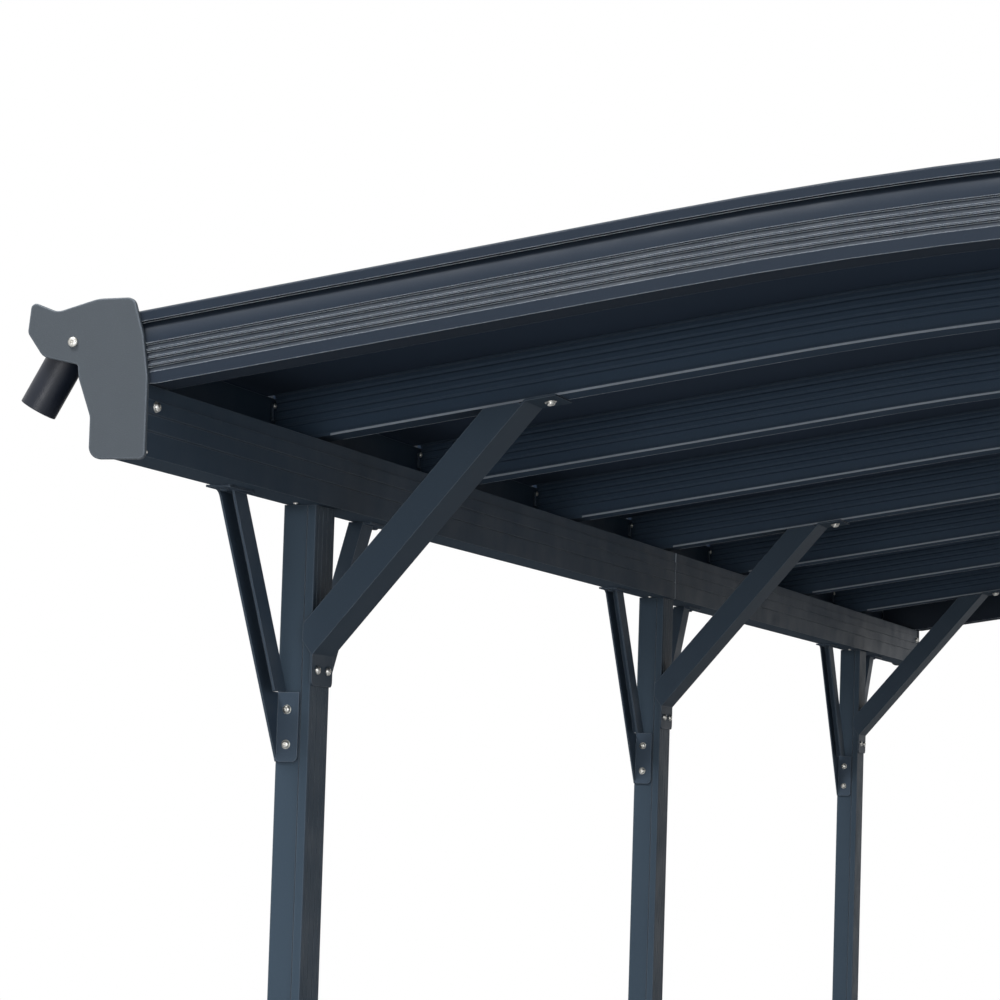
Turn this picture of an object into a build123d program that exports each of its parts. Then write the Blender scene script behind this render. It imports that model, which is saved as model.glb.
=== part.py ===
"""Arched carport: six posts, two eave beams with gutters, nine arches, eight roof panels and their braces.

X runs across the carport, Y along it and Z up from the ground. The origin is on the ground at the middle.
All sizes are in millimetres.
"""

from build123d import *
import math
import os

os.makedirs("parts", exist_ok=True)

# Layout along the carport
bay_count = 8
bay_pitch = 620.0
fascia_overhang = 30.0
face_y = bay_count * bay_pitch / 2 + fascia_overhang

# Roof line: a crown arc with a straight fall to each eave. The arches stand on the eave beams.
crown_radius = 6260.0
eave_angle = 9.2
arch_overhang = 15.0
arch_seat = 1.7
arch_spare = 40.0
panel_overhang = 19.0
panel_thickness = 6.0
panel_play = 0.3

# Arches: an inner rafter and the deeper fascia at each end
arch_width = 50.0
arch_wall = 2.5
arch_cap = 3.0
groove_depth = 9.0
ledge_thickness = 3.0
ledge_inset = 1.0
rafter_depth = 82.0
rafter_body = 42.0
rafter_rib_pitch = 12.0
rafter_rib_count = 4
rafter_rib_depth = 1.5
rafter_lip = 4.5
fascia_depth = 93.5
fascia_bead = 14.0
fascia_cove = 28.0
fascia_cove_depth = 9.0
fascia_cove_swell = 2.2
fascia_round = 3.0
fascia_rib_pitch = 9.5
fascia_rib_count = 4
fascia_rib_depth = 3.0
fascia_rib_flat = 1.9
fascia_rib_step = 1.4

# Eave beams
beam_inner_x = 1644.0
beam_width = 72.0
beam_bottom = 2052.0
beam_height = 90.0
beam_wall = 3.0
beam_corner = 16.0
beam_step = 1.5
beam_step_drop = 18.0
beam_groove = 1.0
beam_groove_drops = (36.0, 57.6)
beam_seam = 1.0

# Gutters
gutter_gap = 19.0
gutter_width = 70.0
gutter_wall = 2.5
gutter_slope = 30.0
gutter_rise = 24.0
gutter_back_gap = 6.0
gutter_front_height = 33.6
gutter_lip = 7.0
gutter_flange = 24.0
gutter_skirt_drop = 41.0
gutter_elbow = 3.0
gutter_bend = 2.0
gutter_round = 4.0

# Rain spouts at the front
spout_radius = 24.0
spout_bore = 21.0
spout_length = 82.0
spout_collar = 4.0
spout_inset = 43.0
spout_setback = 45.0
outlet_margin = 1.0

# End caps
cap_thickness = 6.0
cap_margin = 2.0
cap_rise = 20.0
cap_edge_round = 1.8
cap_foot_round = 8.0
cap_side_round = 60.0
cap_waist_round = 20.0
cap_waist_drop = 18.0
cap_notch_round = 5.0
cap_belly_inset = 20.0
cap_belly_rise = 10.0
cap_belly_round = 18.0
cap_nose_round = 10.0
cap_horn_inset = 4.0
cap_horn_rise = 6.0
cap_horn_round = 7.0
cap_saddle_reach = 32.0
cap_saddle_rise = 12.0
cap_saddle_round = 22.0
cap_brow_drop = 7.0
cap_brow_inset = 4.0
cap_peak_inset = 20.0
cap_peak_drop = 6.0
cap_peak_round = 12.0
cap_cheek_inset = 6.0
cap_cheek_drop = 52.0
cap_neck_rise = 8.0

# Posts
post_width = 51.0
post_depth = 74.0
post_wall = 2.5
post_inset = 13.0
post_strip = 13.0
post_strip_rise = 3.0
post_strip_round = 1.5
post_corner = 5.0
post_groove = 1.2
post_groove_ys = (9.25, 24.7)

# Feet
foot_thickness = 6.0
foot_width = 100.0
foot_length = 150.0
foot_round = 8.0
foot_hole_radius = 5.5
foot_hole_inset = 15.0
foot_spigot = 90.0
foot_spigot_wall = 4.0
foot_play = 0.3

# Braces: folded channels of one plate thickness
brace_plate = 3.0
brace_bend = 6.0
arm_play = 0.2
arm_chamfer = 18.0
arm_flange = 40.0
arm_drop = 210.0
arm_reach = 304.0
arm_tab = 45.0
arm_clear = 3.0
arm_lap = 1.0
arm_round = 8.0
arm_flange_round = 3.0
arm_hole_spacing = 40.0
arm_tip_hole = 22.0
knee_width = 23.0
knee_flange = 37.0
knee_reach = 237.0
knee_drop = 363.0
knee_tab_width = 35.0
knee_tab = 98.0
knee_top_tab = 40.0
knee_flare = 18.0
knee_round = 8.0
knee_hole_spacing = 49.0
brace_hole_radius = 4.5

# Places worked out from the sizes above
eave_turn = math.radians(eave_angle)
beam_outer_x = beam_inner_x + beam_width
beam_top = beam_bottom + beam_height
arch_half_span = beam_outer_x + arch_overhang
panel_half_span = arch_half_span + panel_overhang
gutter_back_x = beam_outer_x + gutter_gap
gutter_front_x = gutter_back_x + gutter_width
post_inner_x = beam_inner_x + post_inset
post_outer_x = post_inner_x + post_width
post_x = (post_inner_x + post_outer_x) / 2
arch_ys = [(i - bay_count / 2) * bay_pitch for i in range(bay_count + 1)]
post_ys = [arch_ys[i] for i in (1, bay_count // 2, bay_count - 1)]
arm_low = beam_bottom - arm_drop
knee_low = beam_bottom - knee_drop
side_names = ("right", "left")
row_names = ("front", "middle", "rear")


def above_centre(x, drop=0.0):
    """Height above the crown's centre, at x, of the roof line lowered square to itself by drop."""
    radius = crown_radius - drop
    arc_x = radius * math.sin(eave_turn)
    if abs(x) <= arc_x:
        return math.sqrt(radius**2 - x**2)
    return radius * math.cos(eave_turn) - (abs(x) - arc_x) * math.tan(eave_turn)


crown_centre = beam_top - arch_seat - above_centre(beam_outer_x, rafter_depth)


def roof_height(x, drop=0.0):
    """Height of the roof line at x, lowered square to itself by drop."""
    return crown_centre + above_centre(x, drop)


def roof_line(half_span, drop=0.0):
    """Straight, arc and straight of the roof line, from the left end to the right, in the XZ plane."""
    arc_x = (crown_radius - drop) * math.sin(eave_turn)
    left_end = (-half_span, roof_height(half_span, drop))
    left = (-arc_x, roof_height(arc_x, drop))
    right = (arc_x, roof_height(arc_x, drop))
    right_end = (half_span, roof_height(half_span, drop))
    Line(left_end, left)
    ThreePointArc(left, (0, roof_height(0, drop)), right)
    Line(right, right_end)


def write_piece(name, solid, places=((0, 0, 0),), left=False, rear=False):
    """Writes one node: the solid at each place, mirrored to the left side or the rear where asked."""
    with BuildPart() as piece:
        with Locations(*places):
            add(solid)
        if left:
            mirror(about=Plane.YZ, mode=Mode.REPLACE)
        if rear:
            mirror(about=Plane.XZ, mode=Mode.REPLACE)
    piece.part.label = name
    export_step(piece.part, f"parts/{name}.step")


# Arch profiles, drawn with the roof line at y = 0 and the outdoors upward
groove_height = panel_thickness + 2 * panel_play
panel_drop = arch_cap + panel_play
body_top = arch_cap + groove_height + ledge_thickness


def rafter_outline():
    """Right half of the rafter's outline, from the top down."""
    half = arch_width / 2
    body = rafter_body / 2
    groove = half - groove_depth
    points = [(0, 0), (half, 0), (half, -arch_cap), (groove, -arch_cap)]
    points += [(groove, -arch_cap - groove_height), (half - ledge_inset, -arch_cap - groove_height)]
    points += [(half - ledge_inset, -body_top), (body, -body_top)]
    for i in range(rafter_rib_count):
        rib = -body_top - (i + 0.5) * rafter_rib_pitch
        points += [(body, rib), (body - rafter_rib_depth, rib - rafter_rib_pitch / 4)]
        points += [(body, rib - rafter_rib_pitch / 2)]
    foot = -rafter_depth + rafter_lip
    points += [(body, foot), (half, foot), (half, -rafter_depth), (0, -rafter_depth)]
    return points


def sweep_profile(profile, half_span):
    """Sweeps a profile along the roof line, cuts the ends upright and the underside flat on the beams."""
    with BuildPart() as blank:
        with BuildLine(Plane.XZ) as path:
            roof_line(half_span + arch_spare)
        start = Plane(origin=path.line @ 0, x_dir=(0, 1, 0), z_dir=path.line % 0)
        with BuildSketch(start):
            add(profile)
        sweep(path=path.line)
        split(bisect_by=Plane.YZ.offset(half_span), keep=Keep.BOTTOM)
        split(bisect_by=Plane.YZ.offset(-half_span), keep=Keep.TOP)
        split(bisect_by=Plane.XY.offset(beam_top), keep=Keep.TOP)
    return blank.part


with BuildSketch() as rafter_profile:
    with BuildLine():
        Polyline(*rafter_outline())
        mirror(about=Plane.YZ)
    make_face()
    bore_top = -body_top - arch_wall
    bore_low = -rafter_depth + arch_wall
    with Locations((0, (bore_top + bore_low) / 2)):
        bore_width = rafter_body - 2 * (arch_wall + rafter_rib_depth)
        Rectangle(bore_width, bore_top - bore_low, mode=Mode.SUBTRACT)

# Fascia profile: its show face is at x = -fascia_overhang and its panel groove faces +x
fascia_face = -fascia_overhang
fascia_back = arch_width / 2
cove_low = -fascia_bead - fascia_cove
rib_low = cove_low - fascia_rib_count * fascia_rib_pitch
cove_top = (fascia_face + fascia_cove_depth, -fascia_bead)
with BuildSketch() as fascia_profile:
    with BuildLine():
        groove = fascia_back - groove_depth
        Polyline(
            (fascia_face + fascia_round, 0),
            (fascia_back, 0),
            (fascia_back, -arch_cap),
            (groove, -arch_cap),
            (groove, -arch_cap - groove_height),
            (fascia_back, -arch_cap - groove_height),
            (fascia_back, -fascia_depth),
            (fascia_face, -fascia_depth),
            (fascia_face, rib_low),
        )
        for i in range(fascia_rib_count):
            low = rib_low + i * fascia_rib_pitch
            crest = (fascia_face, low + fascia_rib_flat)
            valley = (fascia_face + fascia_rib_depth, low + fascia_rib_pitch - fascia_rib_step)
            Polyline((fascia_face, low), crest, valley, (fascia_face, low + fascia_rib_pitch))
        SagittaArc((fascia_face, cove_low), cove_top, fascia_cove_swell)
        Polyline(cove_top, (fascia_face, -fascia_bead), (fascia_face, -fascia_round))
        RadiusArc((fascia_face, -fascia_round), (fascia_face + fascia_round, 0), fascia_round)
    make_face()
    bore_top = -body_top - arch_wall
    bore_low = -fascia_depth + arch_wall
    bore_left = fascia_face + fascia_cove_depth + arch_wall
    bore_right = fascia_back - arch_wall
    with Locations(((bore_left + bore_right) / 2, (bore_top + bore_low) / 2)):
        Rectangle(bore_right - bore_left, bore_top - bore_low, mode=Mode.SUBTRACT)


rafter = sweep_profile(rafter_profile.sketch, arch_half_span)
fascia = sweep_profile(fascia_profile.sketch, arch_half_span)

write_piece("front_arch", fascia, [(0, arch_ys[0], 0)])
write_piece("rear_arch", fascia, [(0, arch_ys[0], 0)], rear=True)
for i in range(1, bay_count):
    write_piece(f"rafter_{i}", rafter, [(0, arch_ys[i], 0)])

# Roof panels: each slides into the grooves of the arches on both sides
panel_width = bay_pitch - arch_width + 2 * (groove_depth - panel_play)
with BuildPart() as roof_panel:
    with BuildSketch(Plane.XZ.offset(-panel_width / 2)):
        with BuildLine():
            roof_line(panel_half_span, panel_drop)
            roof_line(panel_half_span, panel_drop + panel_thickness)
            for side in (1, -1):
                x = side * panel_half_span
                Line((x, roof_height(x, panel_drop)), (x, roof_height(x, panel_drop + panel_thickness)))
        make_face()
    extrude(amount=panel_width)
for i in range(bay_count):
    write_piece(f"roof_panel_{i + 1}", roof_panel.part, [(0, (arch_ys[i] + arch_ys[i + 1]) / 2, 0)])

# Eave beam: a hollow extrusion with a stepped and grooved inner face, in two lengths
beam_length = face_y - beam_seam / 2
with BuildPart() as side_beam:
    with BuildSketch(Plane.XZ.offset(beam_seam / 2)):
        with BuildLine():
            Polyline(
                (beam_outer_x, beam_bottom),
                (beam_outer_x, beam_top),
                (beam_inner_x + beam_step, beam_top),
                (beam_inner_x + beam_step, beam_top - beam_step_drop),
                (beam_inner_x, beam_top - beam_step_drop),
                (beam_inner_x, beam_bottom),
                close=True,
            )
        face = make_face()
        fillet(face.vertices().group_by(Axis.Y)[0].sort_by(Axis.X)[-1:], radius=beam_corner)
        for drop in beam_groove_drops:
            with Locations((beam_inner_x, beam_top - drop)):
                Rectangle(2 * beam_groove, 2 * beam_groove, mode=Mode.SUBTRACT)
        inner_width = beam_width - 2 * beam_wall - beam_step
        with Locations(((beam_inner_x + beam_step + beam_outer_x) / 2, (beam_bottom + beam_top) / 2)):
            RectangleRounded(inner_width, beam_height - 2 * beam_wall, beam_corner - beam_wall, mode=Mode.SUBTRACT)
    extrude(amount=beam_length)

# Gutter: folded from a flange on the beam, up behind the arch ends, down the sloping floor and up to the lip
gutter_fall = math.tan(math.radians(gutter_slope))
gutter_skirt = beam_top - gutter_skirt_drop
gutter_back_low = beam_top + gutter_rise
gutter_back_top = roof_height(gutter_back_x, panel_drop + panel_thickness) - gutter_back_gap
gutter_front_low = gutter_back_low + gutter_fall * gutter_width
gutter_front_top = gutter_front_low + gutter_front_height
with BuildPart() as gutter_blank:
    with BuildSketch(Plane.XZ.offset(-face_y)):
        with BuildLine():
            FilletPolyline(
                (beam_outer_x, gutter_skirt - gutter_flange),
                (beam_outer_x, gutter_skirt),
                (gutter_back_x - gutter_wall, beam_top + gutter_elbow),
                (gutter_back_x - gutter_wall, gutter_back_top),
                radius=gutter_bend,
            )
            offset(amount=gutter_wall, side=Side.RIGHT)
        make_face()
        with BuildLine():
            FilletPolyline(
                (gutter_back_x - gutter_wall / 2, gutter_back_low - gutter_fall * gutter_wall / 2),
                (gutter_front_x, gutter_front_low),
                (gutter_front_x, gutter_front_top),
                (gutter_front_x - gutter_lip, gutter_front_top),
                radius=gutter_round,
            )
            offset(amount=gutter_wall, side=Side.LEFT)
        make_face()
    extrude(amount=2 * face_y)

# Rain spout: a collared tube square to the gutter's floor
spout_angle = math.radians(gutter_slope)
spout_x = gutter_back_x + spout_inset * math.cos(spout_angle)
spout_z = gutter_back_low + spout_inset * math.sin(spout_angle)
spout_y = -face_y + spout_setback
spout_plane = Plane(
    origin=(spout_x, spout_y, spout_z),
    x_dir=(0, 1, 0),
    z_dir=(math.sin(spout_angle), 0, -math.cos(spout_angle)),
)
with BuildPart() as spout:
    with BuildSketch(spout_plane):
        Circle(spout_radius + spout_collar)
        Circle(spout_bore, mode=Mode.SUBTRACT)
    extrude(amount=spout_collar)
    with BuildSketch(spout_plane):
        Circle(spout_radius)
        Circle(spout_bore, mode=Mode.SUBTRACT)
    extrude(amount=spout_length)

with BuildPart() as gutter:
    add(gutter_blank.part)
    with BuildSketch(spout_plane.offset(-3 * gutter_wall)):
        Circle(spout_bore + outlet_margin)
    extrude(amount=4 * gutter_wall, mode=Mode.SUBTRACT)

# End cap: a moulded plate that closes the beam and the gutter
cap_left = beam_inner_x - cap_margin
cap_low = beam_bottom - 2 * cap_margin
cap_right = gutter_front_x + cap_margin
cap_crown = roof_height(beam_inner_x) + cap_rise
cap_outline = (
    (cap_left, cap_low, cap_foot_round),
    (beam_outer_x + cap_margin, cap_low, beam_corner),
    (beam_outer_x + cap_margin, gutter_skirt, cap_waist_round),
    (gutter_back_x, gutter_back_low - cap_waist_drop, cap_nose_round),
    (gutter_back_x + cap_margin, gutter_back_low, cap_notch_round),
    (gutter_front_x - cap_belly_inset, gutter_back_low + cap_belly_rise, cap_belly_round),
    (cap_right, gutter_front_low, cap_nose_round),
    (cap_right - cap_horn_inset, gutter_front_top + cap_horn_rise, cap_horn_round),
    (gutter_back_x + cap_saddle_reach, roof_height(gutter_back_x) + cap_saddle_rise, cap_saddle_round),
    (beam_outer_x - cap_brow_inset, cap_crown - cap_brow_drop, cap_side_round),
    (beam_inner_x + cap_peak_inset, cap_crown - cap_peak_drop, cap_peak_round),
    (beam_inner_x + cap_cheek_inset, cap_crown - cap_cheek_drop, cap_side_round),
    (cap_left, beam_top + cap_neck_rise, cap_side_round),
)
with BuildPart() as end_cap:
    with BuildSketch(Plane.XZ.offset(face_y)):
        with BuildLine():
            FilletPolyline(
                *[(x, z) for x, z, _ in cap_outline],
                radius=[r for _, _, r in cap_outline],
                close=True,
            )
        make_face()
    extrude(amount=cap_thickness)
    fillet(end_cap.faces().sort_by(Axis.Y)[0].edges(), radius=cap_edge_round)

# Post: a hollow extrusion with a raised corner strip and grooved sides, drawn for the right side
with BuildPart() as post:
    with BuildSketch(Plane.XY.offset(foot_thickness)) as post_profile:
        with Locations((post_x, 0)):
            Rectangle(post_width, post_depth - 2 * post_strip_rise)
        fillet(post_profile.vertices().group_by(Axis.X)[-1], radius=post_corner)
        with Locations((post_inner_x + post_strip / 2, 0)):
            RectangleRounded(post_strip, post_depth, post_strip_round)
        for side in (1, -1):
            with Locations((post_inner_x + post_strip, side * (post_depth / 2 - post_strip_rise))):
                Rectangle(2 * post_groove, 2 * post_groove, mode=Mode.SUBTRACT)
            for x in (post_inner_x, post_outer_x):
                with Locations(*[(x, side * y) for y in post_groove_ys]):
                    Rectangle(2 * post_groove, 2 * post_groove, mode=Mode.SUBTRACT)
        with Locations((post_x, 0)):
            post_bore = (post_width - 2 * post_wall, post_depth - 2 * (post_wall + post_strip_rise))
            Rectangle(*post_bore, mode=Mode.SUBTRACT)
    extrude(amount=beam_bottom - foot_thickness)

# Foot: an anchor plate with a hollow spigot inside the post
with BuildPart() as foot:
    with BuildSketch():
        with Locations((post_x, 0)):
            RectangleRounded(foot_width, foot_length, foot_round)
            spacing = (foot_width - 2 * foot_hole_inset, foot_length - 2 * foot_hole_inset)
            with GridLocations(*spacing, 2, 2):
                Circle(foot_hole_radius, mode=Mode.SUBTRACT)
    extrude(amount=foot_thickness)
    with BuildSketch(Plane.XY.offset(foot_thickness)):
        with Locations((post_x, 0)):
            spigot = [size - 2 * foot_play for size in post_bore]
            Rectangle(*spigot)
            Rectangle(spigot[0] - 2 * foot_spigot_wall, spigot[1] - 2 * foot_spigot_wall, mode=Mode.SUBTRACT)
    extrude(amount=foot_spigot)


def bent_strip(points):
    """Section of a folded plate: the line of its seated face, thickened to the left."""
    with BuildSketch() as section:
        with BuildLine():
            FilletPolyline(*points, radius=brace_bend)
            offset(amount=brace_plate, side=Side.LEFT)
        make_face()
    return section.sketch


# Inward brace: from the post's inner face up to the underside of the arch, opening to the corner
arch_low_x = post_inner_x - arm_reach
arm_top = (arch_low_x, roof_height(arch_low_x, rafter_depth))
arm_foot = (post_inner_x, arm_low)
arm_tip = (arch_low_x - arm_tab * math.cos(eave_turn), arm_top[1] + arm_tab * math.sin(eave_turn))
arm_pitch = (arm_top[1] - arm_foot[1]) / arm_reach
arm_width = post_depth + 2 * (brace_plate + arm_play)


def arm_beside_post(rise):
    """Point at the far edge of the post's strip on the line that lies rise above the brace's web."""
    shift = rise * math.hypot(1, arm_pitch)
    return (post_inner_x + post_strip, arm_low + shift - post_strip * arm_pitch)


def arm_under_arch(rise):
    """Point under the arch on the line that lies rise above the brace's web."""
    shift = rise * math.hypot(1, arm_pitch)
    fall = math.tan(eave_turn)
    run = (arm_top[1] - arm_clear - arm_low - shift - arm_reach * fall) / (arm_pitch - fall)
    return (post_inner_x - run, arm_low + shift + run * arm_pitch)


arm_rise = arm_flange - brace_plate
with BuildPart() as rafter_brace:
    with BuildSketch(Plane.XZ.offset(-arm_width / 2)):
        add(bent_strip([(post_inner_x, arm_low - arm_tab), arm_foot, arm_top, arm_tip]))
    extrude(amount=arm_width)
    fillet(rafter_brace.edges().filter_by(Axis.X).group_by(Axis.Z)[0], radius=arm_round)
    with Locations((post_inner_x, 0, arm_low - arm_tab / 2)):
        with GridLocations(1, arm_hole_spacing, 1, 2):
            Cylinder(brace_hole_radius, 4 * brace_plate, rotation=(0, 90, 0), mode=Mode.SUBTRACT)
    tip_hole = (arm_tip[0] + arm_tip_hole, arm_tip[1] - arm_tip_hole * math.tan(eave_turn))
    with Locations((tip_hole[0], 0, tip_hole[1])):
        Cylinder(brace_hole_radius, 4 * brace_plate, rotation=(0, eave_angle, 0), mode=Mode.SUBTRACT)
    for y in (-arm_width / 2, arm_width / 2 - brace_plate):
        with BuildSketch(Plane.XZ.offset(-y - brace_plate)) as flange:
            with BuildLine():
                outer = [arm_foot, (post_inner_x + post_strip, arm_low + arm_chamfer), arm_beside_post(arm_rise)]
                inner = [arm_under_arch(arm_rise), arm_under_arch(-arm_lap)]
                Polyline(*outer, *inner, close=True)
            make_face()
            fillet(flange.vertices().sort_by(Axis.X)[0], radius=arm_flange_round)
        extrude(amount=brace_plate)

# Knee brace: from a post's face out to the underside of the beam, drawn on the face at y = 0 towards +y.
# The channel opens away from the corner, and its outer cheek runs on to both folded tabs.
knee_top = beam_bottom
knee_pitch = (knee_top - knee_low) / knee_reach
knee_shift = knee_flange * math.hypot(1, knee_pitch)
knee_cut = knee_low + knee_tab
knee_inner_x = post_outer_x - knee_width


def knee_edge(z, depth):
    """Point at height z on the line that lies depth behind the brace's free edge."""
    return ((z - knee_low - depth * math.hypot(1, knee_pitch)) / knee_pitch, z)


with BuildPart() as knee_brace:
    with BuildSketch(Plane.YZ.offset(post_outer_x - brace_plate)) as cheek:
        with BuildLine():
            Polyline(
                (0, knee_low),
                knee_edge(knee_top - brace_plate, 0),
                (knee_reach + knee_top_tab, knee_top - brace_plate),
                (knee_reach + knee_top_tab, knee_top),
                knee_edge(knee_top, knee_flange),
                knee_edge(knee_cut, knee_flange),
                (0, knee_cut),
                close=True,
            )
        make_face()
        flare = cheek.vertices().sort_by_distance((*knee_edge(knee_top - brace_plate, 0), 0))
        fillet(flare[0], radius=knee_flare)
    extrude(amount=brace_plate)
    with BuildSketch(Plane.YZ.offset(knee_inner_x)):
        with BuildLine():
            Polyline(
                knee_edge(knee_cut, 0),
                knee_edge(knee_top, 0),
                knee_edge(knee_top, knee_flange),
                knee_edge(knee_cut, knee_flange),
                close=True,
            )
        make_face()
    extrude(amount=brace_plate)
    with BuildSketch(Plane.YZ.offset(knee_inner_x)):
        with BuildLine():
            Polyline(
                knee_edge(knee_cut, knee_flange - brace_plate),
                knee_edge(knee_top, knee_flange - brace_plate),
                knee_edge(knee_top, knee_flange),
                knee_edge(knee_cut, knee_flange),
                close=True,
            )
        make_face()
    extrude(amount=knee_width)
    with BuildSketch(Plane.XZ) as knee_foot:
        with Locations((post_outer_x - knee_tab_width / 2, knee_low + knee_tab / 2)):
            Rectangle(knee_tab_width, knee_tab)
            fillet(knee_foot.vertices().group_by(Axis.Y)[0], radius=knee_round)
            for z in (-1, 1):
                with Locations((0, z * knee_hole_spacing / 2)):
                    Circle(brace_hole_radius, mode=Mode.SUBTRACT)
    extrude(amount=-brace_plate)
    with BuildSketch(Plane.XY.offset(knee_top)):
        low_y = knee_edge(knee_top, knee_flange)[0]
        with Locations((post_outer_x - knee_tab_width / 2, (low_y + knee_reach + knee_top_tab) / 2)):
            Rectangle(knee_tab_width, knee_reach + knee_top_tab - low_y)
    extrude(amount=-brace_plate)

# Nodes of both sides; what stands on the left is the mirror of the right
post_face = post_depth / 2 - post_strip_rise
with BuildPart() as knee_pair:
    with Locations((0, post_face, 0)):
        add(knee_brace.part)
    mirror(about=Plane.XZ)

for left, side in ((True, "left"), (False, "right")):
    for y, row in zip(post_ys, row_names):
        write_piece(f"post_{side}_{row}", post.part, [(0, y, 0)], left)
        write_piece(f"knee_braces_{side}_{row}", knee_pair.part, [(0, y, 0)], left)
    along = [(0, y, 0) for y in post_ys]
    write_piece(f"foot_plates_{side}", foot.part, along, left)
    write_piece(f"rafter_braces_{side}", rafter_brace.part, along, left)
    write_piece(f"gutter_{side}", gutter.part, left=left)
    write_piece(f"spout_{side}", spout.part, left=left)
    for rear, end in ((False, "front"), (True, "rear")):
        write_piece(f"side_beam_{side}_{end}", side_beam.part, left=left, rear=rear)
        write_piece(f"end_cap_{side}_{end}", end_cap.part, left=left, rear=rear)
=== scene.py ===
"""Looks of the arched carport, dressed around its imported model.

Lengths are in metres: X runs across the carport, Y along it and Z up from the ground.
"""

import math

import bmesh
import bpy
from mathutils import Matrix, Vector


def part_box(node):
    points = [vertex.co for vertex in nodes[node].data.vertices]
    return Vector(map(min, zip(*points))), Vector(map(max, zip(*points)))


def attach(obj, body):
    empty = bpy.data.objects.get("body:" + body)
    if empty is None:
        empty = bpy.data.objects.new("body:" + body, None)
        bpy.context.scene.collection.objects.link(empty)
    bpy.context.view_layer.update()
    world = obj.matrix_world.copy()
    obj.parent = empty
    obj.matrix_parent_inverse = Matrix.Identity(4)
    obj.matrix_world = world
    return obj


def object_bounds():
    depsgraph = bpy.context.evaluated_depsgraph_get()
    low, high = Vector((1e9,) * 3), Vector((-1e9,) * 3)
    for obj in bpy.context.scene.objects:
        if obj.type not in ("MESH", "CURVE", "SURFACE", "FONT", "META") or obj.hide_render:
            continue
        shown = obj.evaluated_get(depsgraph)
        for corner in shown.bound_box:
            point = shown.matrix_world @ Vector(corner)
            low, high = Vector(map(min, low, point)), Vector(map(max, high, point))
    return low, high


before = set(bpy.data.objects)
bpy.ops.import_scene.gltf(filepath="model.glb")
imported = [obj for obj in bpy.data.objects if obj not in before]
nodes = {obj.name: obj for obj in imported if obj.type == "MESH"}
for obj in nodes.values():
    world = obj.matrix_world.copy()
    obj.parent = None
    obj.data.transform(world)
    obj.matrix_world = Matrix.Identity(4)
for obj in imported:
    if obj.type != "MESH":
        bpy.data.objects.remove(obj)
cad_low, cad_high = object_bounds()

# Places read from the frame; the right side is mirrored for the left
post_low, post_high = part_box("post_right_front")
beam_low, beam_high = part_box("side_beam_right_front")
knee_low, knee_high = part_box("knee_braces_right_front")
foot_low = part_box("foot_plates_right")[0]
rafter_low, rafter_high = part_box("rafter_1")
brace_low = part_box("rafter_braces_right")[0]
panel_low, panel_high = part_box("roof_panel_1")
post_rows = ("front", "middle", "rear")
post_ys = [sum(corner.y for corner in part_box(f"post_right_{row}")) / 2 for row in post_rows]
rafter_count = sum(name.startswith("rafter_") and name[-1].isdigit() for name in nodes)
rafter_ys = [sum(corner.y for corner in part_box(f"rafter_{i + 1}")) / 2 for i in range(rafter_count)]
arch_half_width = (rafter_high.y - rafter_low.y) / 2
knee_centre_x = (knee_low.x + knee_high.x) / 2
knee_reach = knee_high.y - post_ys[0]
panel_half_span = (panel_high.x - panel_low.x) / 2

# Roof line, as the model has it
apex_height = cad_high.z
crown_radius = 6.26
eave_turn = math.radians(9.2)

# Thicknesses in the model
brace_plate = 0.003
strip_rise = 0.003
rafter_depth = 0.082

# Heads of the fastenings: radius, height and, where there is a washer, its radius
heads = {
    "brace_bolts": (0.0064, 0.0046),
    "arch_tab_bolts": (0.0064, 0.0046, 0.0085),
    "knee_bolts": (0.0056, 0.0042, 0.0066),
    "knee_top_bolts": (0.0056, 0.0036),
    "post_top_screws": (0.0034, 0.0022),
    "foot_screws": (0.0042, 0.0028),
    "beam_end_screws": (0.0064, 0.0046, 0.0072),
    "beam_low_screws": (0.002, 0.0016),
    "cap_screws": (0.0066, 0.004),
    "gutter_flange_screws": (0.0042, 0.0028, 0.0062),
    "arch_end_screws": (0.0042, 0.0028),
}

# Where the fastenings sit on the pieces that they hold
brace_bolt_rise = 0.0225
brace_bolt_offset = 0.02
arch_bolt_inset = 0.019
knee_bolt_rises = (0.0245, 0.0735)
knee_top_inset = 0.021
post_top_x = 1.677
post_top_reach = 0.065
foot_screw_rises = (0.042, 0.077)
beam_end_inset, beam_end_height = 0.033, 2.116
beam_low_inset, beam_low_height = 0.010, 2.0575
cap_screw_x, cap_screw_height = 1.744, 2.194
flange_thickness, flange_height = 0.0025, 2.0893
flange_end_inset = 0.06
flange_screws_each_way = 8

# Clips on the back wall of the gutter, beside each rafter
gutter_wall_x = 1.7325
clip_gap = 0.005
clip_half_width = 0.004
clip_thickness = 0.004
clip_low, clip_high = 2.172, 2.196
clip_screw_height = 2.1935

# Trims: the bare seam of the beams, a pale strip on the lip of the rafters as a painted highlight, and the rubber
# seals of the panels.
# They stand proud of a face, or sink into it, by the same little.
proud = 0.0004
seam_width = 0.0036
seam_depth = 0.004
seam_foot_inset = 0.02
seam_foot_height = 0.003
lip_top, lip_bottom = 0.0792, 0.0823
panel_top_drop = 0.0033
seal_inset = 0.0087
seal_width = 0.004
seal_height = 0.0032

# Floor and light
floor_radius = 90
floor_gap = 0.0005
floor_fade = (5.0, 13.0)
floor_grey = (0.82, 0.82, 0.82, 1)
floor_grey_for_light = (0.2, 0.2, 0.2, 1)
sky_colour = (0.93, 0.97, 1.0, 1)
sky_strength = 0.38
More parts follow.
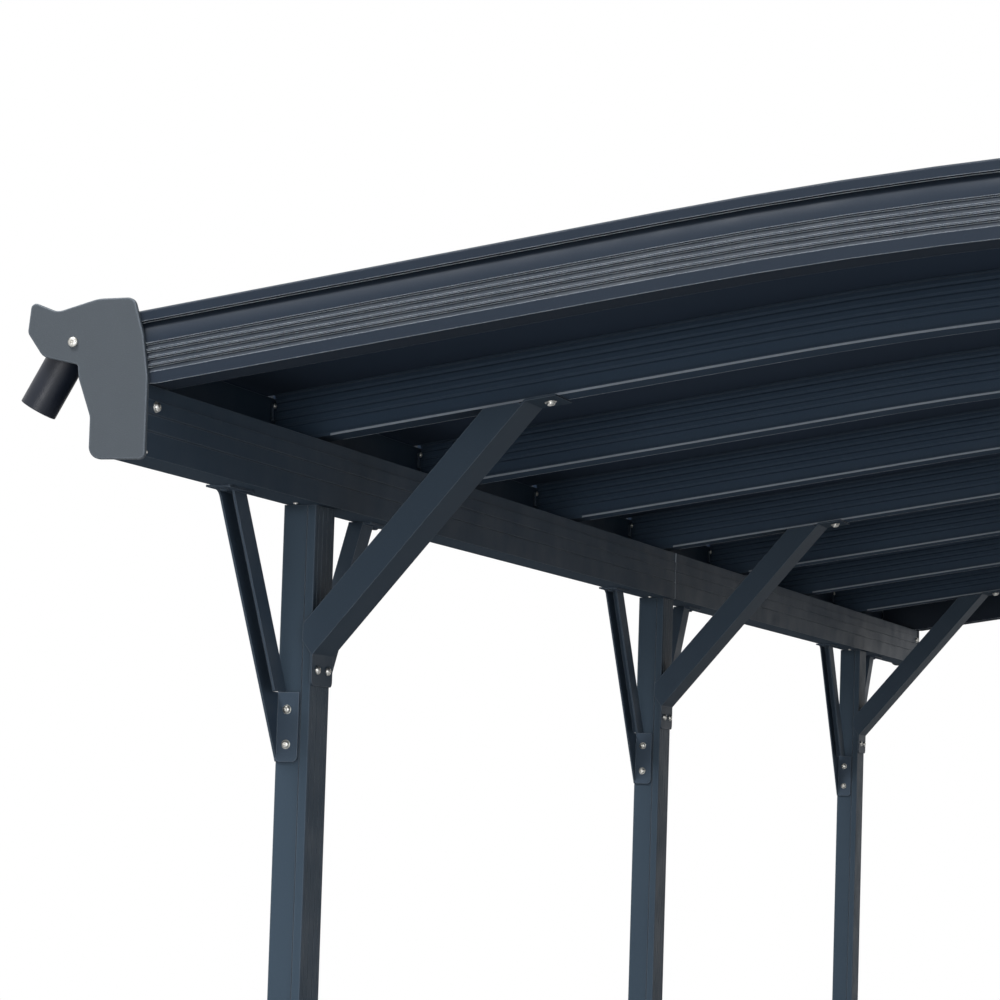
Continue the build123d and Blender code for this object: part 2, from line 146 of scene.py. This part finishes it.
# Soft boxes: place, target, width, power in watts and colour
lamps = {
    "key_high_front": ((-3.8, -6.0, 9.0), (-1.2, -2.4, 2.2), 2.2, 640, (1, 1, 1)),
    "fill_low_front": ((0.4, -13.4, 0.6), (-0.8, -1.5, 1.8), 5.0, 740, (1, 1, 1)),
    "fill_right_front": ((6.5, -7.0, 3.2), (0.0, -1.0, 1.4), 5.0, 75, (0.72, 0.86, 1.0)),
}

# Camera, solved from the photograph's posts, beam and arches
camera_place = (0.03371, -6.19108, 1.63342)
camera_yaw, camera_pitch, camera_roll = 0.30281, 0.06377, 0.03
camera_lens = 117.97
camera_shift = (-0.05, 0.10)


def roof_height(x, drop=0.0):
    """Height of the roof line at x, lowered square to itself by drop."""
    radius = crown_radius - drop
    centre = apex_height - crown_radius
    arc_x = radius * math.sin(eave_turn)
    if abs(x) <= arc_x:
        return centre + math.sqrt(radius**2 - x**2)
    return centre + radius * math.cos(eave_turn) - (abs(x) - arc_x) * math.tan(eave_turn)


# Node helpers


def calculate(tree, operation, first, second):
    """The result of a Math node on two values."""
    node = tree.nodes.new("ShaderNodeMath")
    node.operation = operation
    tree.links.new(first, node.inputs[0])
    tree.links.new(second, node.inputs[1])
    return node.outputs[0]


def colour_mix(tree, factor):
    """Mixes two colours by a factor: the sockets of both colours, and the result."""
    node = tree.nodes.new("ShaderNodeMix")
    node.data_type = "RGBA"
    tree.links.new(factor, node.inputs["Factor"])
    first, second = (socket for socket in node.inputs if socket.type == "RGBA")
    return first, second, next(socket for socket in node.outputs if socket.type == "RGBA")


def seen_directly(tree):
    """One for camera, glossy and transmission rays, none for the rays that light the object."""
    path = tree.nodes.new("ShaderNodeLightPath")
    total = path.outputs["Is Camera Ray"]
    for name in ("Is Glossy Ray", "Is Transmission Ray"):
        total = calculate(tree, "MAXIMUM", total, path.outputs[name])
    return total


# Materials


def srgb(red, green, blue):
    """Linear colour of an 8-bit screen colour."""
    parts = [c / 255 for c in (red, green, blue)]
    return (*[c / 12.92 if c <= 0.04045 else ((c + 0.055) / 1.055) ** 2.4 for c in parts], 1.0)


def shade(colour, factor):
    """The colour made lighter or darker."""
    return (*[min(1.0, c * factor) for c in colour[:3]], 1.0)


class Surface:
    """A Principled material with helpers for its procedural pattern, in metres on the object."""

    def __init__(self, name, colour, metallic=0.0, specular=0.5):
        self.material = bpy.data.materials.new(name)
        self.material.use_nodes = True
        self.tree = self.material.node_tree
        self.shader = self.tree.nodes["Principled BSDF"]
        self.shader.inputs["Metallic"].default_value = metallic
        self.shader.inputs["Specular IOR Level"].default_value = specular
        self.coordinates = self.tree.nodes.new("ShaderNodeTexCoord").outputs["Object"]
        self.first_colour = colour
        self.colour = None
        self.normal = None

    def link(self, start, end):
        """Joins one node's output to another's input."""
        self.tree.links.new(start, end)

    def noise(self, scale, detail, stretch=(1, 1, 1)):
        """Noise of about scale cells a metre, stretched along the axes."""
        mapping = self.tree.nodes.new("ShaderNodeMapping")
        mapping.inputs["Scale"].default_value = stretch
        self.link(self.coordinates, mapping.inputs["Vector"])
        node = self.tree.nodes.new("ShaderNodeTexNoise")
        node.inputs["Scale"].default_value = scale
        node.inputs["Detail"].default_value = detail
        node.inputs["Roughness"].default_value = 0.55
        self.link(mapping.outputs[0], node.inputs["Vector"])
        return node.outputs["Fac"]

    def cells(self, scale):
        """Flat cells, about scale of them a metre, as a random grey each."""
        node = self.tree.nodes.new("ShaderNodeTexVoronoi")
        node.inputs["Scale"].default_value = scale
        self.link(self.coordinates, node.inputs["Vector"])
        split = self.tree.nodes.new("ShaderNodeSeparateColor")
        self.link(node.outputs["Color"], split.inputs[0])
        return split.outputs[0]

    def spread(self, value, low, high, to_low=0.0, to_high=1.0):
        """The value with low to high stretched over to_low to to_high."""
        node = self.tree.nodes.new("ShaderNodeMapRange")
        node.clamp = True
        for name, number in zip(("From Min", "From Max", "To Min", "To Max"), (low, high, to_low, to_high)):
            node.inputs[name].default_value = number
        self.link(value, node.inputs["Value"])
        return node.outputs["Result"]

    def facing(self, low, high):
        """Goes from none to one as the upward part of the face's direction goes from low to high."""
        split = self.tree.nodes.new("ShaderNodeSeparateXYZ")
        self.link(self.tree.nodes.new("ShaderNodeNewGeometry").outputs["Normal"], split.inputs[0])
        return self.spread(split.outputs["Z"], low, high)

    def tint(self, colour, amount):
        """Mixes a colour into the base colour by an amount that varies over the surface."""
        first, second, result = colour_mix(self.tree, amount)
        if self.colour:
            self.link(self.colour, first)
        else:
            first.default_value = self.first_colour
        second.default_value = colour
        self.colour = result

    def add_dust(self, amount):
        """Settles dust on the faces that look up."""
        self.tint(dust_colour, calculate(self.tree, "MULTIPLY", self.facing(0.35, 0.95), amount))

    def bump(self, height, distance, strength):
        """Raises the surface by a pattern, on top of the bumps that it has."""
        node = self.tree.nodes.new("ShaderNodeBump")
        node.inputs["Distance"].default_value = distance
        node.inputs["Strength"].default_value = strength
        self.link(height, node.inputs["Height"])
        if self.normal:
            self.link(self.normal, node.inputs["Normal"])
        self.normal = node.outputs[0]

    def rounded_normal(self, radius):
        """The normal with its sharp edges rounded."""
        node = self.tree.nodes.new("ShaderNodeBevel")
        node.samples = 3
        node.inputs["Radius"].default_value = radius
        return node.outputs[0]

    def soften_edges(self, radius):
        """Rounds the sharp edges of the shading, as a real extrusion's are."""
        self.normal = self.rounded_normal(radius)

    def paint_edge_highlights(self, colour, radius, most):
        """Paints highlights along the edges, where the rounded normal turns away from the face's own: painted
        highlight.
        """
        across = self.tree.nodes.new("ShaderNodeVectorMath")
        across.operation = "DOT_PRODUCT"
        self.link(self.rounded_normal(radius), across.inputs[0])
        self.link(self.tree.nodes.new("ShaderNodeNewGeometry").outputs["True Normal"], across.inputs[1])
        self.tint(colour, self.spread(across.outputs["Value"], 0.995, 0.9, 0.0, most))

    def paint_recess_shade(self, colour, reach, most):
        """Paints shade into the colour where neighbouring faces close it in: painted shade in recesses."""
        open_sky = self.tree.nodes.new("ShaderNodeAmbientOcclusion")
        open_sky.samples = 3
        open_sky.inputs["Distance"].default_value = reach
        self.tint(colour, self.spread(open_sky.outputs["AO"], 0.92, 0.5, 0.0, most))

    def matt_below(self, roughness):
        """The roughness, with the faces that look down made fully rough."""
        return calculate(self.tree, "MAXIMUM", roughness, self.facing(-0.3, -0.85))

    def finish(self, roughness):
        """Joins the pattern to the shader. The roughness is a number or a value from the pattern."""
        self.link(self.colour, self.shader.inputs["Base Color"])
        if isinstance(roughness, float):
            self.shader.inputs["Roughness"].default_value = roughness
        else:
            self.link(roughness, self.shader.inputs["Roughness"])
        if self.normal:
            self.link(self.normal, self.shader.inputs["Normal"])
        return self.material


dust_colour = srgb(150, 152, 150)
# Pale colour of the painted highlights along edges
edge_highlight_colour = srgb(160, 170, 182)


def powder_coat(name, colour, gloss=0.54, edge=0.0012, edge_highlight=0.4, recess_shade=0.6, highlight_radius=0.0018, highlight_colour=edge_highlight_colour):
    """Satin powder coat: fine grain, soft orange peel, rain streaks, dust on top, painted shade in recesses and
    painted highlights along edges.
    """
    paint = Surface(name, colour, specular=0.16)
    mottle = paint.spread(paint.noise(2.2, 4), 0.35, 0.7, 0.0, 0.4)
    grain = paint.spread(paint.noise(520, 2), 0.56, 0.74, 0.0, 0.5)
    streaks = paint.spread(paint.noise(3, 4, (3, 3, 0.7)), 0.5, 0.8, 0.0, 0.12)
    paint.tint(shade(colour, 0.85), mottle)
    paint.tint(shade(colour, 1.35), grain)
    paint.tint(shade(colour, 1.1), streaks)
    paint.add_dust(paint.spread(paint.noise(9, 6), 0.42, 0.7, 0.03, 0.16))
    # Painted shade: darker where neighbouring faces close the surface in
    paint.paint_recess_shade(shade(colour, 0.4), 0.02, recess_shade)
    # Painted highlights along the edges
    paint.paint_edge_highlights(highlight_colour, highlight_radius, edge_highlight)
    paint.soften_edges(edge)
    paint.bump(paint.noise(85, 2), 0.0003, 0.2)
    paint.bump(paint.noise(950, 2), 0.0003, 0.35)
    satin = paint.spread(paint.noise(16, 5), 0.3, 0.7, gloss - 0.05, gloss + 0.08)
    return paint.finish(paint.matt_below(satin))


def moulded_plastic(name, colour, gloss, rim=0.0):
    """Moulded plastic with a fine even grain, and a painted highlight along its rim."""
    plastic = Surface(name, colour, specular=0.4)
    plastic.tint(shade(colour, 0.9), plastic.spread(plastic.noise(14, 5), 0.35, 0.7, 0.0, 0.6))
    plastic.tint(shade(colour, 1.18), plastic.spread(plastic.noise(430, 2), 0.55, 0.75, 0.0, 0.5))
    # Painted highlight along the rim
    plastic.paint_edge_highlights(edge_highlight_colour, 0.0022, rim)
    plastic.soften_edges(0.0012)
    plastic.bump(plastic.noise(620, 3), 0.0004, 0.4)
    return plastic.finish(plastic.spread(plastic.noise(24, 4), 0.3, 0.7, gloss - 0.05, gloss + 0.08))


def roof_sheet(name, colour):
    """Dark tinted sheet: smooth and glossy, with a film of dust that is a little uneven."""
    sheet = Surface(name, colour, specular=0.25)
    sheet.tint(shade(colour, 0.85), sheet.spread(sheet.noise(1.7, 3), 0.35, 0.7))
    sheet.add_dust(sheet.spread(sheet.noise(4, 6, (0.8, 1.3, 1)), 0.35, 0.75, 0.05, 0.11))
    return sheet.finish(sheet.matt_below(sheet.spread(sheet.noise(4, 3), 0.3, 0.75, 0.24, 0.34)))


def zinc_plate(name, colour, spangle=110.0):
    """Zinc-plated steel with its crystals and dull spots."""
    zinc = Surface(name, colour, metallic=1.0)
    zinc.tint(shade(colour, 0.66), zinc.spread(zinc.cells(spangle), 0.1, 0.9))
    zinc.tint(srgb(120, 116, 108), zinc.spread(zinc.noise(60, 5), 0.6, 0.8, 0.0, 0.6))
    zinc.soften_edges(0.0006)
    zinc.bump(zinc.noise(700, 2), 0.0002, 0.3)
    return zinc.finish(zinc.spread(zinc.cells(spangle * 1.3), 0.0, 1.0, 0.26, 0.48))


def rubber(name, colour):
    """Matt sealing rubber."""
    seal = Surface(name, colour, specular=0.25)
    seal.tint(shade(colour, 1.6), seal.spread(seal.noise(60, 5), 0.5, 0.8, 0.0, 0.7))
    seal.bump(seal.noise(900, 2), 0.0002, 0.4)
    return seal.finish(0.78)


materials = {
    "frame": powder_coat("frame_powder_coat", srgb(54, 69, 84)),
    "post": powder_coat("post_powder_coat", srgb(61, 76, 90)),
    # Fascia: a darker copy of the frame's coat as painted shade, with strong painted highlights on its edges and full
    # painted shade in its recesses
    "fascia": powder_coat(
        "fascia_powder_coat", srgb(36, 46, 59), 0.5, edge_highlight=1.0, recess_shade=1.0, highlight_radius=0.0014, highlight_colour=srgb(218, 226, 235)
    ),
    "rafter": powder_coat("rafter_powder_coat", srgb(57, 74, 93), edge_highlight=0.15),
    "brace": powder_coat("brace_powder_coat", srgb(57, 71, 85), edge_highlight=0.5),
    # Knees: a lighter copy of the brace coat, without painted shade in recesses, as painted light in their open
    # channel
    "knee": powder_coat("knee_powder_coat", srgb(68, 82, 97), 0.5, edge_highlight=0.5, recess_shade=0.0),
    "gutter": powder_coat("gutter_powder_coat", srgb(50, 64, 78)),
    "cap": moulded_plastic("cap_plastic_grey", srgb(71, 78, 85), 0.55, 0.8),
    "spout": moulded_plastic("spout_plastic_black", srgb(11, 19, 33), 0.4),
    # Pale strip on each rafter lip: painted highlight
    "lip": powder_coat("lip_edge_painted_highlight", srgb(158, 167, 178), 0.5, 0.0004, recess_shade=0.0),
    "sheet": roof_sheet("roof_sheet_tinted", srgb(41, 55, 73)),
    "zinc": zinc_plate("zinc_plated_steel", srgb(205, 204, 198)),
    "bolt": zinc_plate("zinc_plated_bolts", srgb(222, 220, 214), 420.0),
    "seam": powder_coat("bare_seam_edge", srgb(150, 158, 168), 0.5, 0.0004, recess_shade=0.0),
    "seal": rubber("black_rubber_seal", srgb(26, 27, 29)),
}
# Finish of the nodes by the start of their names; the first that fits is taken
node_finish = (
    ("post", "post"),
    ("end_cap", "cap"),
    ("spout", "spout"),
    ("roof_panel", "sheet"),
    ("foot_plates", "zinc"),
    ("gutter", "gutter"),
    ("knee_braces", "knee"),
    ("rafter_braces", "brace"),
    ("rafter", "rafter"),
    ("front_arch", "fascia"),
    ("rear_arch", "fascia"),
    ("", "frame"),
)


def finish_nodes():
    """Gives each node of the model its finish."""
    for name, node in nodes.items():
        kind = next(finish for start, finish in node_finish if name.startswith(start))
        node.data.materials.clear()
        node.data.materials.append(materials[kind])


# Mesh helpers


def add_object(name, data):
    """An object in the scene that shows the data."""
    made = bpy.data.objects.new(name, data)
    bpy.context.scene.collection.objects.link(made)
    return made


def add_piece(name, mesh, finish, smooth=35):
    """Closes a mesh into a piece that rides on the carport."""
    bmesh.ops.recalc_face_normals(mesh, faces=mesh.faces)
    data = bpy.data.meshes.new(name)
    mesh.to_mesh(data)
    mesh.free()
    data.shade_smooth()
    data.set_sharp_from_angle(angle=math.radians(smooth))
    data.materials.append(materials[finish])
    piece = add_object(name, data)
    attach(piece, "root")


def turn(mesh, profile, place):
    """Turns a profile of (radius, height, six_sided) rings about the place's Z axis."""
    steps = 24
    rows = []
    for radius, height, six_sided in profile:
        if radius == 0:
            rows.append([mesh.verts.new(place @ Vector((0, 0, height)))])
            continue
        row = []
        for i in range(steps):
            angle = math.tau * i / steps
            reach = radius
            if six_sided:
                reach = radius * math.cos(math.pi / 6) / math.cos(angle % (math.pi / 3) - math.pi / 6)
            row.append(mesh.verts.new(place @ Vector((reach * math.cos(angle), reach * math.sin(angle), height))))
        rows.append(row)
    for low, high in zip(rows, rows[1:]):
        for i in range(steps):
            j = (i + 1) % steps
            corners = [low[i % len(low)], low[j % len(low)], high[j % len(high)], high[i % len(high)]]
            mesh.faces.new(list(dict.fromkeys(corners)))


def seat(point, axis, spin):
    """Placement at a point with Z along the axis, turned by spin about it."""
    upright = Vector(axis).to_track_quat("Z", "Y").to_matrix().to_4x4()
    return Matrix.Translation(point) @ upright @ Matrix.Rotation(spin, 4, "Z")


def button_head(radius, height, washer=0.0):
    """Profile of a domed head with a six-sided socket, on a thin washer where one is given."""
    sunk = -0.0005
    washer_height, washer_chamfer = 0.0014, 0.0003
    side, dome = 0.22, 0.78
    base = 0.0
    profile = [(0, sunk, False)]
    if washer:
        base = washer_height
        rim = washer - washer_chamfer
        profile += [(washer, sunk, False), (washer, base - washer_chamfer, False), (rim, base, False)]
    profile += [(radius, base, False), (radius, base + height * side, False)]
    for i in range(1, 6):
        angle = i / 6 * math.pi / 2
        profile.append((radius * math.cos(angle * 0.8), base + height * (side + dome * math.sin(angle)), False))
    top = base + height * 0.99
    return profile + [
        (radius * 0.42, top, True),
        (radius * 0.4, top - height * 0.5, True),
        (0, top - height * 0.55, False),
    ]


def add_bolts(name, places, finish="bolt"):
    """One piece of like bolts, each turned a little differently."""
    mesh = bmesh.new()
    profile = button_head(*heads[name])
    for i, (point, axis) in enumerate(places):
        turn(mesh, profile, seat(point, axis, spin=i * 0.7))
    add_piece(name, mesh, finish)


def box_between(mesh, low, high):
    """A box between two opposite corners, with slightly broken edges."""
    low, high = Vector(map(min, low, high)), Vector(map(max, low, high))
    made = bmesh.ops.create_cube(mesh, size=1.0)["verts"]
    for vertex in made:
        vertex.co = low + Vector(s * (c + 0.5) for s, c in zip(high - low, vertex.co))
    edges = {edge for vertex in made for edge in vertex.link_edges}
    bevel = min(high - low) * 0.2
    bmesh.ops.bevel(mesh, geom=list(edges), offset=bevel, segments=2, affect="EDGES")


def strip_along_roof(mesh, section, half_span):
    """A closed strip along the roof line. The section is a ring of (y, drop below the line, rise from there)."""
    steps = 64
    last = None
    for k in range(steps + 1):
        x = half_span * (2 * k / steps - 1)
        ring = [mesh.verts.new((x, y, roof_height(x, drop) + rise)) for y, drop, rise in section]
        if last:
            for a in range(len(ring)):
                b = (a + 1) % len(ring)
                mesh.faces.new((last[a], last[b], ring[b], ring[a]))
        else:
            mesh.faces.new(ring)
        last = ring
    mesh.faces.new(last)


# Fastenings and trims


def add_post_fastenings():
    """Bolts and screws of the posts, braces and feet, seated on the faces that they hold."""
    face = post_high.y - post_ys[0] - strip_rise
    brace_seat = post_low.x - brace_plate
    arch_tab_x = brace_low.x + arch_bolt_inset
    arch_tab_z = roof_height(arch_tab_x, rafter_depth + brace_plate)
    braces, arch_tabs, knees, knee_tops, post_tops, foot_screws = [], [], [], [], [], []
    for side in (1, -1):
        knee_x = side * knee_centre_x
        for y in post_ys:
            for offset in (-brace_bolt_offset, brace_bolt_offset):
                braces.append(((side * brace_seat, y + offset, brace_low.z + brace_bolt_rise), (-side, 0, 0)))
            arch_tabs.append(((side * arch_tab_x, y, arch_tab_z), (-side * math.sin(eave_turn), 0, -1)))
            for end in (1, -1):
                for rise in knee_bolt_rises:
                    knees.append(((knee_x, y + end * (face + brace_plate), knee_low.z + rise), (0, end, 0)))
                knee_top_y = y + end * (knee_reach - knee_top_inset)
                knee_tops.append(((knee_x, knee_top_y, beam_low.z - brace_plate), (0, 0, -1)))
                post_tops.append(((side * post_top_x, y + end * post_top_reach, beam_low.z), (0, 0, -1)))
                for rise in foot_screw_rises:
                    foot_screws.append(((knee_x, y + end * face, foot_low.z + rise), (0, end, 0)))
    add_bolts("brace_bolts", braces)
    add_bolts("arch_tab_bolts", arch_tabs)
    add_bolts("knee_bolts", knees, "zinc")
    add_bolts("knee_top_bolts", knee_tops, "brace")
    add_bolts("post_top_screws", post_tops)
    add_bolts("foot_screws", foot_screws)


def add_eave_fastenings():
    """Screws of the beams' ends, the end caps and the gutters' flanges."""
    beam_ends, beam_lows, caps, flanges = [], [], [], []
    flange_x = beam_high.x + flange_thickness
    flange_pitch = (cad_high.y - flange_end_inset) / flange_screws_each_way
    for side in (1, -1):
        inner = side * beam_low.x
        for end in (1, -1):
            beam_ends.append(((inner, end * (cad_high.y - beam_end_inset), beam_end_height), (-side, 0, 0)))
            beam_lows.append(((inner, end * (cad_high.y - beam_low_inset), beam_low_height), (-side, 0, 0)))
            caps.append(((side * cap_screw_x, end * cad_high.y, cap_screw_height), (0, end, 0)))
        for i in range(-flange_screws_each_way, flange_screws_each_way + 1):
            flanges.append(((side * flange_x, i * flange_pitch, flange_height), (side, 0, 0)))
    add_bolts("beam_end_screws", beam_ends)
    add_bolts("beam_low_screws", beam_lows)
    add_bolts("cap_screws", caps)
    add_bolts("gutter_flange_screws", flanges)


def add_arch_clips():
    """A small clip with a domed screw at each end of each rafter, on the back wall of the gutter."""
    clips, screws = bmesh.new(), []
    front = gutter_wall_x - clip_thickness
    for side in (1, -1):
        for y in rafter_ys:
            centre = y - arch_half_width - clip_gap
            low = (side * front, centre - clip_half_width, clip_low)
            high = (side * gutter_wall_x, centre + clip_half_width, clip_high)
            box_between(clips, low, high)
            screws.append(((side * front, centre, clip_screw_height), (-side, 0, 0)))
    add_piece("arch_end_clips", clips, "frame")
    add_bolts("arch_end_screws", screws)


def add_seams():
    """The bare edge that shows around the inner face where the two lengths of each beam meet."""
    mesh = bmesh.new()
    for side in (1, -1):
        corner = (side * (beam_low.x - proud), -seam_width / 2, beam_low.z - proud)
        back = side * (beam_low.x + seam_depth)
        box_between(mesh, corner, (back, seam_width / 2, beam_high.z))
        outer = side * (beam_high.x - seam_foot_inset)
        box_between(mesh, corner, (outer, seam_width / 2, beam_low.z + seam_foot_height))
    add_piece("beam_seams", mesh, "seam")


def add_lip_highlights():
    """A pale strip on the face of the lip that runs along both lower edges of each rafter, as a painted highlight."""
    mesh = bmesh.new()
    for y in rafter_ys:
        for side in (1, -1):
            face = y + side * arch_half_width
            front, back = face + side * proud, face - side * proud
            section = [(back, lip_top, 0), (front, lip_top, 0), (front, lip_bottom, 0), (back, lip_bottom, 0)]
            strip_along_roof(mesh, section, beam_low.x)
    add_piece("rafter_lip_highlights", mesh, "lip")


def add_seals():
    """Rubber seals along both long edges of each roof panel, lying on the panel against the arches."""
    mesh = bmesh.new()
    # Across from the panel's edge, and up from its top
    section = (
        (0, -proud),
        (0, seal_height),
        (seal_width * 0.45, seal_height),
        (seal_width, seal_height * 0.25),
        (seal_width, -proud),
    )
    for i in range(rafter_count + 1):
        low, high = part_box(f"roof_panel_{i + 1}")
        for edge, inward in ((low.y + seal_inset, 1), (high.y - seal_inset, -1)):
            ring = [(edge + inward * across, panel_top_drop, up) for across, up in section]
            strip_along_roof(mesh, ring, panel_half_span)
    add_piece("panel_seals", mesh, "seal", smooth=40)


# Setting


def floor_material():
    """Pale to look at, dimmer to the light on the object, and fading to white with the distance."""
    material = bpy.data.materials.new("floor_pale")
    material.use_nodes = True
    tree = material.node_tree
    links = tree.links
    tree.nodes.clear()
    seen = seen_directly(tree)
    dim, pale, shown = colour_mix(tree, seen)
    dim.default_value = floor_grey_for_light
    pale.default_value = floor_grey
    near = tree.nodes.new("ShaderNodeBsdfDiffuse")
    links.new(shown, near.inputs["Color"])
    far = tree.nodes.new("ShaderNodeEmission")
    far.inputs["Color"].default_value = (1, 1, 1, 1)
    distance = tree.nodes.new("ShaderNodeVectorMath")
    distance.operation = "LENGTH"
    links.new(tree.nodes.new("ShaderNodeTexCoord").outputs["Object"], distance.inputs[0])
    fade = tree.nodes.new("ShaderNodeMapRange")
    fade.interpolation_type = "SMOOTHSTEP"
    fade.inputs["From Min"].default_value, fade.inputs["From Max"].default_value = floor_fade
    links.new(distance.outputs["Value"], fade.inputs["Value"])
    mix = tree.nodes.new("ShaderNodeMixShader")
    links.new(calculate(tree, "MULTIPLY", fade.outputs["Result"], seen), mix.inputs["Fac"])
    links.new(near.outputs[0], mix.inputs[1])
    links.new(far.outputs[0], mix.inputs[2])
    links.new(mix.outputs[0], tree.nodes.new("ShaderNodeOutputMaterial").inputs["Surface"])
    return material


def add_floor():
    """A pale floor that keeps the shadow."""
    mesh = bmesh.new()
    bmesh.ops.create_circle(mesh, cap_ends=True, segments=96, radius=floor_radius)
    data = bpy.data.meshes.new("floor")
    mesh.to_mesh(data)
    mesh.free()
    data.materials.append(floor_material())
    floor = add_object("floor", data)
    floor.location.z = -floor_gap


def add_world():
    """White to look at, with a softer, slightly cool light on the object."""
    world = bpy.data.worlds.new("studio")
    bpy.context.scene.world = world
    world.use_nodes = True
    tree = world.node_tree
    links = tree.links
    tree.nodes.clear()
    light = tree.nodes.new("ShaderNodeBackground")
    light.inputs["Color"].default_value = sky_colour
    light.inputs["Strength"].default_value = sky_strength
    white = tree.nodes.new("ShaderNodeBackground")
    white.inputs["Color"].default_value = (1, 1, 1, 1)
    mix = tree.nodes.new("ShaderNodeMixShader")
    links.new(seen_directly(tree), mix.inputs["Fac"])
    links.new(light.outputs[0], mix.inputs[1])
    links.new(white.outputs[0], mix.inputs[2])
    links.new(mix.outputs[0], tree.nodes.new("ShaderNodeOutputWorld").inputs["Surface"])


def add_lamps():
    """The soft boxes, each turned to its target."""
    for name, (place, target, width, power, colour) in lamps.items():
        lamp = bpy.data.lights.new(name, "AREA")
        lamp.shape = "SQUARE"
        lamp.size = width
        lamp.energy = power
        lamp.color = colour
        holder = add_object(name, lamp)
        holder.location = place
        holder.rotation_euler = (Vector(target) - Vector(place)).to_track_quat("-Z", "Y").to_euler()


def add_camera():
    """The photograph's viewpoint: from the open front, low on the right, to the left eave."""
    data = bpy.data.cameras.new("camera")
    data.sensor_width = 36
    data.lens = camera_lens
    data.shift_x, data.shift_y = camera_shift
    camera = add_object("camera", data)
    yaw = Matrix.Rotation(camera_yaw, 4, "Z")
    pitch = Matrix.Rotation(math.pi / 2 + camera_pitch, 4, "X")
    roll = Matrix.Rotation(camera_roll, 4, "Z")
    camera.matrix_world = Matrix.Translation(camera_place) @ yaw @ pitch @ roll
    bpy.context.scene.camera = camera


finish_nodes()
add_post_fastenings()
add_eave_fastenings()
add_arch_clips()
add_seams()
add_lip_highlights()
add_seals()
add_floor()
add_world()
add_lamps()
add_camera()
bpy.context.scene.view_settings.view_transform = "Standard"
